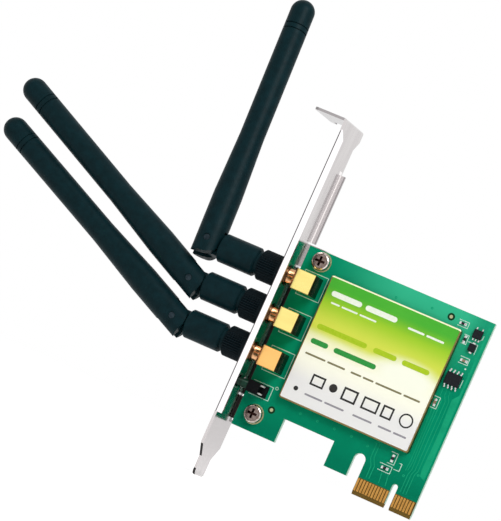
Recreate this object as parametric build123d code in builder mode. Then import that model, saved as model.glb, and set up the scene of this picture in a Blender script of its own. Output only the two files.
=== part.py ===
"""Plug-in wireless network card: circuit board, slot bracket and three folding antennas.

Millimetres. The origin is at the bottom of the edge connector, beside the middle of its
key and half-way through the board. +X runs from the bracket into the computer, +Z away
from the slot, and the component side of the board faces -Y.
"""
import os
from math import cos, radians, sin

from build123d import *

os.makedirs("parts", exist_ok=True)

# Circuit board
board_thickness = 1.57
board_length = 65.0
board_height = 65.75
waist_height = 12.7
leg_width = 15.3
leg_height = 4.7
foot_width = 7.8
foot_height = 4.4

# Edge connector: two tongue sections either side of the key, contacts on both faces
key_offset = 0.25
key_width = 1.9
key_height = 8.25
hook_width = 3.9
hook_height = 12.6
bevel_height = 1.3
bevel_depth = 0.45
contact_pitch = 1.0
contact_width = 0.7
contact_length = 4.1
contact_thickness = 0.06
key_to_contact = 1.5
left_margin = 0.1
right_margin = 0.5
long_contacts = 11
short_contacts = 7

# Slot bracket, folded from sheet
sheet = 0.86
bracket_height = 120.02
tip_drop = 14.42
front_reach = 14.65
back_reach = 2.2
board_gap = 1.1
tip_width = 10.19
tip_length = 6.2
tip_corner = 2.0
tab_overhang = 3.17
tab_depth = 11.43
tab_corner = 1.6
tab_bend = 0.8
shoulder_drop = 3.6
notch_width = 4.42
notch_depth = 5.0
notch_offset = 6.35
flange_depth = 2.4
flange_bend = 0.6
front_flange_drop = 3.7
front_flange_slope = 3.2
front_flange_bottom = 6.3
back_flange_drop = 15.6
back_flange_bottom = 18.0
ear_length = 10.5
ear_width = 7.6
ear_corner = 1.5
ear_relief = 0.6

# Screws that hold the board on the bracket's ears
screw_inset = 5.6
screw_drop = 3.45
screw_rise = 5.5
screw_diameter = 2.9
screw_clearance = 0.05
screw_length = 4.0
board_hole_clearance = 0.2
head_diameter = 6.0
head_height = 2.2
head_round = 1.0
recess_length = 3.2
recess_width = 0.8
recess_depth = 1.1

# Shield can over the radio, and its label
can_drop = 5.85
can_margin = 5.6
can_gap = 2.55
parts_strip = 8.5
can_depth = 2.1
can_wall = 0.3
can_corner = 0.8
can_edge = 0.25
label_side = 0.45
label_end = 0.5
label_thickness = 0.12
label_corner = 0.5

# Coaxial jacks at the bracket side of the board
jack_pitch = 13.0
jack_drop = 8.3
jack_length = 7.05
jack_block = 6.55
jack_height = 5.5
jack_block_chamfer = 0.15
jack_neck_chamfer = 0.75
jack_inset = 1.5
jack_neck = 5.4
jack_barrel = 6.35
jack_shoulder_gap = 0.3
jack_reach = 6.5
jack_hole_clearance = 0.3
jack_leg = 0.9
jack_leg_inset = 0.735
leg_below_board = 1.2
leg_hole = 1.5
insulator_diameter = 4.2
insulator_recess = 1.8
jack_pin = 0.92
jack_pin_recess = 0.6
fit_gap = 0.02

# Status lamp in a right-angle holder
lamp_share = 0.406
lamp_inset = 1.0
holder_back = 0.7
holder_foot = 0.9
holder_heel = 2.0
holder_side = 0.425
holder_roof = 0.5
holder_round = 0.3
lamp_diameter = 3.0
lamp_axis = 2.4
lamp_proud = 0.2
lamp_seat = 3.2
lamp_hole_clearance = 0.2
lamp_lead = 0.5
lamp_lead_gap = 0.25
lamp_lead_pitch = 2.54
lamp_lead_hole = 0.9
lamp_dome = 1.2

# Memory chip with gull-wing leads, and the smaller parts beside the can
chip_inset = 5.1
chip_drop = 15.1
chip_width = 4.9
chip_depth = 3.9
chip_thickness = 1.4
chip_standoff = 0.15
lead_count = 4
lead_pitch = 1.27
lead_width = 0.42
lead_thickness = 0.2
lead_reach = 0.3
lead_foot = 0.85
chip_chamfer = 0.2
small_chip_inset = 3.75
regulator_drop = 5.15
regulator_width = 2.9
regulator_depth = 2.8
regulator_thickness = 1.1
diode_drop = 9.65
diode_width = 2.2
diode_depth = 2.5
diode_thickness = 1.0
passive_length = 1.6
passive_width = 0.85
passive_thickness = 0.5
# their places: in from the board's right edge, and down from its top edge or from the can
top_resistor = (9.5, 3.75)
diode_resistor = (4.5, 14.25)
side_capacitor = (7.6, 23.7)
low_resistor = (13.7, 6.9)
low_capacitor = (12.6, 3.2)

# Antennas: coupling nut, plug, swivel base, hinge pin and whip
nut_gap = 0.3
nut_wall = 1.0
nut_diameter = 10.05
nut_chamfer = 0.35
knurl_count = 40
knurl_depth = 0.3
knurl_plain = 1.8
thread_clearance = 0.05
plug_clearance = 0.175
plug_flange_thickness = 0.8
plug_float = 0.1
stem_diameter = 4.4
stem_length = 8.6
stem_passage = 0.4
bead_diameter = 5.2
bead_start = 4.6
bead_length = 1.2
bead_clearance = 0.3
socket_diameter = 1.7
socket_length = 1.5
swivel_clearance = 0.05
collar_gap = 0.3
collar_diameter = 7.6
collar_length = 1.1
base_diameter = 9.4
base_chamfer = 0.4
pivot_reach = 27.3
hinge_gap = 0.3
tongue_thickness = 3.0
tongue_radius = 3.7
slot_clearance = 0.3
pin_diameter = 2.0
pin_clearance = 0.05
pin_length = 8.8
pin_recess_diameter = 2.4
whip_heel = 4.6
whip_diameter = 9.35
whip_tip_diameter = 8.0
whip_straight = 16.5
whip_taper = 21.0
whip_length = 87.2
ring_setback = 10.5
ring_spacing = 1.8
ring_width = 0.45
ring_depth = 0.35
tilt_angles = (83.65, 25.5, 24.65)
swivel_angles = (12.7, 0.0, 0.0)

# Places that follow from the sizes above
board_front = -board_thickness / 2
board_back = board_thickness / 2
first_contact = key_offset - key_to_contact - contact_pitch * (long_contacts - 1)
last_contact = key_offset + key_to_contact + contact_pitch * (short_contacts - 1)
tongue_left = first_contact - contact_width / 2 - left_margin
board_right = last_contact + contact_width / 2 + right_margin
board_left = board_right - board_length
leg_right = board_left + leg_width
hook_left = tongue_left - hook_width
foot_left = hook_left - foot_width
bracket_in = board_left - board_gap
bracket_out = bracket_in - sheet
bracket_bottom = -tip_drop
bracket_top = bracket_bottom + bracket_height
blade_front = board_front - front_reach
blade_back = board_back + back_reach
tab_back = blade_back + tab_overhang
tip_front = (blade_front + blade_back - tip_width) / 2
tip_back = tip_front + tip_width
taper = tip_front - blade_front
ear_back = board_back + sheet
screw_x = board_left + screw_inset
screw_zs = (board_height - screw_drop, leg_height + screw_rise)
jack_zs = [screw_zs[0] - jack_drop - jack_pitch * i for i in range(3)]
jack_left = board_left + jack_inset
jack_x = jack_left + jack_length / 2
jack_y = board_front - jack_height
jack_hole = jack_barrel + 2 * jack_hole_clearance
jack_leg_pitch = jack_block - 2 * jack_leg_inset
can_left = jack_left + jack_length + can_gap
can_right = board_right - parts_strip
can_bottom = waist_height + can_margin
can_top = board_height - can_drop
can_width = can_right - can_left
can_height = can_top - can_bottom
can_x = (can_left + can_right) / 2
can_z = (can_bottom + can_top) / 2
leg_root = jack_block / 4
bore_depth = jack_x + insulator_diameter / 2 - bracket_out + jack_reach
pin_depth = jack_x + jack_pin / 2 - bracket_out + jack_reach
# the lamp stands in the gap between the lowest jack and the lower screw, at a share of its height
gap_bottom = screw_zs[1] + head_diameter / 2
gap_top = jack_zs[2] - jack_block / 2
lamp_height = gap_bottom + lamp_share * (gap_top - gap_bottom)
holder_width = lamp_diameter + 2 * holder_side
holder_height = lamp_axis + lamp_diameter / 2 + holder_roof
lamp_left = board_left + lamp_inset
lamp_y = board_front - lamp_axis
holder_length = lamp_seat + holder_back
lamp_lead_x = lamp_left + holder_length + lamp_lead_gap + lamp_lead / 2
chip_x = board_right - chip_inset
chip_z = can_top - chip_drop
small_chip_x = board_right - small_chip_inset
regulator_z = board_height - regulator_drop
diode_z = board_height - diode_drop
passives_across = [(board_right - x, board_height - drop) for x, drop in (top_resistor, diode_resistor)]
passives_across += [(board_right - low_resistor[0], can_bottom - low_resistor[1])]
passives_along = [(board_right - side_capacitor[0], can_top - side_capacitor[1])]
passives_along += [(board_right - low_capacitor[0], can_bottom - low_capacitor[1])]
nut_bore = jack_barrel + 2 * thread_clearance
plug_flange = nut_bore - 2 * plug_clearance
plug_back = jack_reach + plug_flange_thickness
nut_shoulder = plug_back + plug_float
nut_end = nut_shoulder + nut_wall
base_start = nut_end + collar_gap
base_end = pivot_reach - whip_heel - hinge_gap
base_bore = stem_diameter + 2 * swivel_clearance
bead_pocket = bead_diameter + 2 * bead_clearance
bead_begin = plug_back + bead_start - bead_clearance
bead_end = plug_back + bead_start + bead_length + bead_clearance
stem_end = plug_back + stem_length + bead_clearance
ring_position = whip_length - ring_setback
fork_depth = tongue_radius + slot_clearance + 2 * whip_heel
contact_z = bevel_height + contact_length / 2
contact_xs = [first_contact + contact_pitch * i for i in range(long_contacts)]
contact_xs += [last_contact - contact_pitch * i for i in range(short_contacts)]

component_face = Plane.XZ.offset(-board_front)
solder_face = Plane.XZ.offset(-board_back)

# The board: outline with hook slot, key, and the holes its parts stand in
with BuildPart() as circuit_board:
    with BuildSketch(solder_face):
        with BuildLine():
            Polyline(
                (board_left, leg_height),
                (leg_right, leg_height),
                (leg_right, waist_height),
                (foot_left, waist_height),
                (foot_left, foot_height),
                (tongue_left, foot_height),
                (tongue_left, 0),
                (board_right, 0),
                (board_right, board_height),
                (board_left, board_height),
                close=True,
            )
        make_face()
        with Locations((tongue_left - hook_width / 2, 0)):
            SlotOverall(2 * hook_height, hook_width, rotation=90, mode=Mode.SUBTRACT)
        with Locations((key_offset, 0)):
            SlotOverall(2 * key_height, key_width, rotation=90, mode=Mode.SUBTRACT)
        with Locations(*[(screw_x, z) for z in screw_zs]):
            Circle(screw_diameter / 2 + board_hole_clearance, mode=Mode.SUBTRACT)
        with Locations(*[(jack_x, z) for z in jack_zs]):
            Circle(leg_hole / 2, mode=Mode.SUBTRACT)
            with GridLocations(jack_leg_pitch, jack_leg_pitch, 2, 2):
                Circle(leg_hole / 2, mode=Mode.SUBTRACT)
        with Locations((lamp_lead_x, lamp_height)):
            with GridLocations(0, lamp_lead_pitch, 1, 2):
                Circle(lamp_lead_hole / 2, mode=Mode.SUBTRACT)
    extrude(amount=board_thickness)
    # both faces of the tongue are bevelled so that it enters the slot
    for side in (-1, 1):
        with BuildSketch(Plane.YZ.offset(tongue_left)):
            with BuildLine():
                Polyline(
                    (side * board_back, 0),
                    (side * board_back, bevel_height),
                    (side * (board_back - bevel_depth), 0),
                    close=True,
                )
            make_face()
        extrude(amount=board_right - tongue_left, mode=Mode.SUBTRACT)
circuit_board.part.label = "circuit_board"
export_step(circuit_board.part, "parts/circuit_board.step")

# Gold contacts, one plate for each position of the slot
with BuildPart() as contacts_front:
    with BuildSketch(component_face):
        with Locations(*[(x, contact_z) for x in contact_xs]):
            Rectangle(contact_width, contact_length)
    extrude(amount=contact_thickness)
contacts_front.part.label = "contacts_front"
export_step(contacts_front.part, "parts/contacts_front.step")

with BuildPart() as contacts_back:
    with BuildSketch(solder_face):
        with Locations(*[(x, contact_z) for x in contact_xs]):
            Rectangle(contact_width, contact_length)
    extrude(amount=-contact_thickness)
contacts_back.part.label = "contacts_back"
export_step(contacts_back.part, "parts/contacts_back.step")

# The bracket: blade with its tapered tip, bent tab, stiffening flanges and board ears
with BuildPart() as bracket:
    with BuildSketch(Plane.YZ.offset(bracket_out)):
        with BuildLine():
            Polyline(
                (blade_front, bracket_top),
                (blade_front, bracket_bottom + tip_length + taper),
                (tip_front, bracket_bottom + tip_length),
                (tip_front, bracket_bottom),
                (tip_back, bracket_bottom),
                (tip_back, bracket_bottom + tip_length),
                (blade_back, bracket_bottom + tip_length + taper),
                (blade_back, bracket_top - shoulder_drop - tab_overhang),
                (tab_back, bracket_top - shoulder_drop),
                (tab_back, bracket_top),
                close=True,
            )
        outline = make_face()
        fillet(outline.vertices().group_by(Axis.Y)[0], tip_corner)
        with Locations(*[(jack_y, z) for z in jack_zs]):
            Circle(jack_hole / 2, mode=Mode.SUBTRACT)
        with Locations((lamp_y, lamp_height)):
            Circle(lamp_diameter / 2 + lamp_hole_clearance, mode=Mode.SUBTRACT)
        with Locations(*[(blade_back, z) for z in screw_zs]):
            Rectangle(2 * (blade_back - ear_back), ear_width + 2 * ear_relief, mode=Mode.SUBTRACT)
    extrude(amount=sheet)
    # tab that rests on the case, with the notch for its screw
    with BuildSketch(Plane.XY.offset(bracket_top - sheet)):
        with Locations((bracket_in - tab_depth, blade_front)):
            tab = Rectangle(tab_depth, tab_back - blade_front, align=Align.MIN)
        fillet(tab.vertices().group_by(Axis.X)[0], tab_corner)
        with Locations((bracket_out - notch_offset, tab_back)):
            SlotOverall(2 * notch_depth, notch_width, rotation=90, mode=Mode.SUBTRACT)
    extrude(amount=sheet)
    # front flange, its top end sloped
    with BuildSketch(Plane.XZ.offset(-blade_front - sheet)):
        with BuildLine():
            Polyline(
                (bracket_out, front_flange_bottom),
                (bracket_out + flange_depth, front_flange_bottom),
                (bracket_out + flange_depth, bracket_top - front_flange_drop - front_flange_slope),
                (bracket_in, bracket_top - front_flange_drop),
                (bracket_out, bracket_top - front_flange_drop),
                close=True,
            )
        make_face()
    extrude(amount=sheet)
    # back flange in two lengths, above and between the ears
    with BuildSketch(Plane.XZ.offset(-blade_back)):
        upper_end = screw_zs[0] + ear_width / 2 + ear_relief
        lower_end = screw_zs[0] - ear_width / 2 - ear_relief
        with Locations((bracket_out, upper_end)):
            Rectangle(flange_depth, bracket_top - back_flange_drop - upper_end, align=Align.MIN)
        with Locations((bracket_out, back_flange_bottom)):
            Rectangle(flange_depth, lower_end - back_flange_bottom, align=Align.MIN)
    extrude(amount=sheet)
    # ears behind the board
    with BuildSketch(Plane.XZ.offset(-ear_back)):
        for z in screw_zs:
            with Locations((bracket_out, z)):
                ear = Rectangle(sheet + ear_length, ear_width, align=(Align.MIN, Align.CENTER))
            fillet(ear.vertices().group_by(Axis.X)[-1], ear_corner)
        with Locations(*[(screw_x, z) for z in screw_zs]):
            Circle(screw_diameter / 2 + screw_clearance, mode=Mode.SUBTRACT)
    extrude(amount=sheet)
    # rounded outside of the front fold and of the fold under the tab
    with BuildSketch(Plane.XY.offset(front_flange_bottom)):
        with Locations((bracket_out, blade_front)):
            Rectangle(flange_bend, flange_bend, align=Align.MIN)
        with Locations((bracket_out + flange_bend, blade_front + flange_bend)):
            Circle(flange_bend, mode=Mode.SUBTRACT)
    extrude(amount=bracket_top - front_flange_drop - front_flange_bottom, mode=Mode.SUBTRACT)
    with BuildSketch(Plane.XZ.offset(-tab_back)):
        with Locations((bracket_in - tab_bend, bracket_top - tab_bend)):
            Rectangle(tab_bend, tab_bend, align=Align.MIN)
            Circle(tab_bend, mode=Mode.SUBTRACT)
    extrude(amount=tab_back - blade_front, mode=Mode.SUBTRACT)
bracket.part.label = "bracket"
export_step(bracket.part, "parts/bracket.step")

# Cross-recessed pan-head screws, through the board into the ears
with BuildPart() as bracket_screws:
    with BuildSketch(component_face):
        with Locations(*[(screw_x, z) for z in screw_zs]):
            Circle(head_diameter / 2)
    extrude(amount=head_height)
    crowns = bracket_screws.edges().filter_by(GeomType.CIRCLE).group_by(Axis.Y)[0]
    fillet(crowns, head_round)
    with BuildSketch(component_face):
        with Locations(*[(screw_x, z) for z in screw_zs]):
            Circle(screw_diameter / 2)
    extrude(amount=-screw_length)
    with BuildSketch(component_face.offset(head_height)):
        with Locations(*[(screw_x, z) for z in screw_zs]):
            Rectangle(recess_length, recess_width)
            Rectangle(recess_width, recess_length)
    extrude(amount=-recess_depth, mode=Mode.SUBTRACT)
bracket_screws.part.label = "bracket_screws"
export_step(bracket_screws.part, "parts/bracket_screws.step")

# Drawn shield can, open towards the board
with BuildPart() as shield_can:
    with BuildSketch(component_face):
        with Locations((can_x, can_z)):
            RectangleRounded(can_width, can_height, can_corner)
    extrude(amount=can_depth)
    fillet(shield_can.faces().sort_by(Axis.Y)[0].edges(), can_edge)
    with BuildSketch(component_face):
        with Locations((can_x, can_z)):
            RectangleRounded(can_width - 2 * can_wall, can_height - 2 * can_wall, can_corner - can_wall)
    extrude(amount=can_depth - can_wall, mode=Mode.SUBTRACT)
shield_can.part.label = "shield_can"
export_step(shield_can.part, "parts/shield_can.step")

with BuildPart() as can_label:
    with BuildSketch(component_face.offset(can_depth)):
        with Locations((can_x, can_z)):
            RectangleRounded(can_width - 2 * label_side, can_height - 2 * label_end, label_corner)
    extrude(amount=label_thickness)
can_label.part.label = "can_label"
export_step(can_label.part, "parts/can_label.step")

# Three right-angle coaxial jacks: block on four legs, barrel out through the bracket
for number, z in enumerate(jack_zs, start=1):
    profile = Plane(origin=(bracket_out, jack_y, z), x_dir=(-1, 0, 0), z_dir=(0, -1, 0))
    mouth = Plane(origin=(bracket_out - jack_reach, jack_y, z), x_dir=(0, 1, 0), z_dir=(-1, 0, 0))
    jack_axis = Axis((bracket_out, jack_y, z), (-1, 0, 0))

    with BuildPart() as jack_body:
        with BuildSketch(component_face):
            with Locations((jack_x, z)):
                Rectangle(jack_length, jack_block)
        extrude(amount=jack_height + jack_block / 2)
        neck_edges = jack_body.faces().sort_by(Axis.X)[0].edges().sort_by(Axis.Y)[:-1]
        chamfer(neck_edges, jack_neck_chamfer)
        front_edges = jack_body.faces().sort_by(Axis.Y)[0].edges()
        chamfer(front_edges, jack_block_chamfer)
        with BuildSketch(profile):
            with BuildLine():
                Polyline(
                    (bracket_out - jack_x, 0),
                    (bracket_out - jack_x, jack_neck / 2),
                    (-sheet - jack_shoulder_gap, jack_neck / 2),
                    (-sheet - jack_shoulder_gap, jack_barrel / 2),
                    (jack_reach, jack_barrel / 2),
                    (jack_reach, 0),
                    close=True,
                )
            make_face()
        revolve(axis=jack_axis)
        with BuildSketch(component_face.offset(leg_root)):
            with Locations((jack_x, z)):
                with GridLocations(jack_leg_pitch, jack_leg_pitch, 2, 2):
                    Rectangle(jack_leg, jack_leg)
        extrude(amount=-leg_root - board_thickness - leg_below_board)
        # stepped bore for the insulator, with a branch down to the board for the pin
        with BuildSketch(mouth):
            Circle(insulator_diameter / 2 + fit_gap)
        extrude(amount=-bore_depth, mode=Mode.SUBTRACT)
        with BuildSketch(component_face):
            with Locations((jack_x, z)):
                Circle(leg_hole / 2)
        extrude(amount=jack_height, mode=Mode.SUBTRACT)
    jack_body.part.label = f"jack_body_{number}"
    export_step(jack_body.part, f"parts/jack_body_{number}.step")

    with BuildPart() as jack_insulator:
        with BuildSketch(mouth.offset(-bore_depth)):
            Circle(insulator_diameter / 2)
        extrude(amount=bore_depth - insulator_recess)
        with BuildSketch(mouth):
            Circle(jack_pin / 2 + fit_gap)
        extrude(amount=-pin_depth, mode=Mode.SUBTRACT)
        with BuildSketch(component_face):
            with Locations((jack_x, z)):
                Circle(jack_pin / 2 + fit_gap)
        extrude(amount=jack_height, mode=Mode.SUBTRACT)
    jack_insulator.part.label = f"jack_insulator_{number}"
    export_step(jack_insulator.part, f"parts/jack_insulator_{number}.step")

    with BuildPart() as jack_contact:
        with BuildSketch(mouth.offset(-pin_depth)):
            Circle(jack_pin / 2)
        extrude(amount=pin_depth - jack_pin_recess)
        with BuildSketch(component_face.offset(jack_height)):
            with Locations((jack_x, z)):
                Circle(jack_pin / 2)
        extrude(amount=-jack_height - board_thickness - leg_below_board)
    jack_contact.part.label = f"jack_contact_{number}"
    export_step(jack_contact.part, f"parts/jack_contact_{number}.step")

# Status lamp: black holder on the board, lamp lying in it with its leads bent down behind it
with BuildPart() as lamp_holder:
    with BuildSketch(component_face):
        with Locations((lamp_left, lamp_height)):
            Rectangle(holder_length, holder_width, align=(Align.MIN, Align.CENTER))
    extrude(amount=holder_height)
    fillet(lamp_holder.edges().filter_by(Axis.X).group_by(Axis.Y)[0], holder_round)
    with BuildSketch(Plane.YZ.offset(lamp_left)):
        with Locations((lamp_y, lamp_height)):
            Circle(lamp_diameter / 2 + fit_gap)
    extrude(amount=lamp_seat, mode=Mode.SUBTRACT)
    with BuildSketch(component_face.offset(holder_foot)):
        with Locations((lamp_left + lamp_seat, lamp_height)):
            Rectangle(holder_back, lamp_lead_pitch + lamp_lead_hole, align=(Align.MIN, Align.CENTER))
    extrude(amount=lamp_axis + lamp_lead_hole - holder_foot, mode=Mode.SUBTRACT)
    # low foot behind it that guides the leads to their holes
    with BuildSketch(component_face):
        with Locations((lamp_left + lamp_seat, lamp_height)):
            Rectangle(holder_back + holder_heel, holder_width, align=(Align.MIN, Align.CENTER))
        with Locations((lamp_lead_x, lamp_height)):
            with GridLocations(0, lamp_lead_pitch, 1, 2):
                Circle(lamp_lead_hole / 2, mode=Mode.SUBTRACT)
    extrude(amount=holder_foot)
lamp_holder.part.label = "lamp_holder"
export_step(lamp_holder.part, "parts/lamp_holder.step")

with BuildPart() as lamp:
    with BuildSketch(Plane.YZ.offset(lamp_left + lamp_seat)):
        with Locations((lamp_y, lamp_height)):
            Circle(lamp_diameter / 2)
    extrude(amount=bracket_out - lamp_proud - lamp_left - lamp_seat)
    fillet(lamp.edges().group_by(Axis.X)[0], lamp_dome)
    with BuildSketch(component_face.offset(lamp_axis + lamp_lead / 2)):
        with Locations((lamp_lead_x, lamp_height)):
            with GridLocations(0, lamp_lead_pitch, 1, 2):
                Rectangle(lamp_lead, lamp_lead)
    extrude(amount=-lamp_axis - lamp_lead / 2 - board_thickness - leg_below_board)
    with BuildSketch(Plane.YZ.offset(lamp_left + lamp_seat)):
        with Locations((lamp_y, lamp_height)):
            with GridLocations(0, lamp_lead_pitch, 1, 2):
                Rectangle(lamp_lead, lamp_lead)
    extrude(amount=holder_back + lamp_lead_gap + lamp_lead)
lamp.part.label = "lamp"
export_step(lamp.part, "parts/lamp.step")

# Memory chip and its gull-wing leads
with BuildPart() as memory_chip:
    with BuildSketch(component_face.offset(chip_standoff)):
        with Locations((chip_x, chip_z)):
            Rectangle(chip_width, chip_depth)
    extrude(amount=chip_thickness)
    chamfer(memory_chip.faces().sort_by(Axis.Y)[0].edges(), chip_chamfer)
memory_chip.part.label = "memory_chip"
export_step(memory_chip.part, "parts/memory_chip.step")

with BuildPart() as memory_leads:
    root_y = board_front - chip_standoff - chip_thickness / 2
    root_z = chip_z + chip_depth / 2
    bend_z = root_z + lead_reach
    for i in range(lead_count):
        lead_x = chip_x + lead_pitch * (i - (lead_count - 1) / 2) - lead_width / 2
        with BuildSketch(Plane.YZ.offset(lead_x)):
            with BuildLine():
                Polyline(
                    (root_y - lead_thickness / 2, root_z),
                    (root_y - lead_thickness / 2, bend_z + lead_thickness),
                    (board_front - lead_thickness, bend_z + lead_thickness),
                    (board_front - lead_thickness, bend_z + lead_foot),
                    (board_front, bend_z + lead_foot),
                    (board_front, bend_z),
                    (root_y + lead_thickness / 2, bend_z),
                    (root_y + lead_thickness / 2, root_z),
                    close=True,
                )
            make_face()
        extrude(amount=lead_width)
    mirror(about=Plane.XY.offset(chip_z))
memory_leads.part.label = "memory_leads"
export_step(memory_leads.part, "parts/memory_leads.step")

with BuildPart() as regulator_chip:
    with BuildSketch(component_face):
        with Locations((small_chip_x, regulator_z)):
            Rectangle(regulator_width, regulator_depth)
    extrude(amount=regulator_thickness)
    chamfer(regulator_chip.faces().sort_by(Axis.Y)[0].edges(), chip_chamfer)
regulator_chip.part.label = "regulator_chip"
export_step(regulator_chip.part, "parts/regulator_chip.step")

with BuildPart() as diode_chip:
    with BuildSketch(component_face):
        with Locations((small_chip_x, diode_z)):
            Rectangle(diode_width, diode_depth)
    extrude(amount=diode_thickness)
    chamfer(diode_chip.faces().sort_by(Axis.Y)[0].edges(), chip_chamfer)
diode_chip.part.label = "diode_chip"
export_step(diode_chip.part, "parts/diode_chip.step")

# Chip resistors and capacitors: some lie across the board, some stand along it
with BuildPart() as chip_passives:
    with BuildSketch(component_face):
        with Locations(*passives_across):
            Rectangle(passive_length, passive_width)
        with Locations(*passives_along):
            Rectangle(passive_width, passive_length)
    extrude(amount=passive_thickness)
chip_passives.part.label = "chip_passives"
export_step(chip_passives.part, "parts/chip_passives.step")

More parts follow.
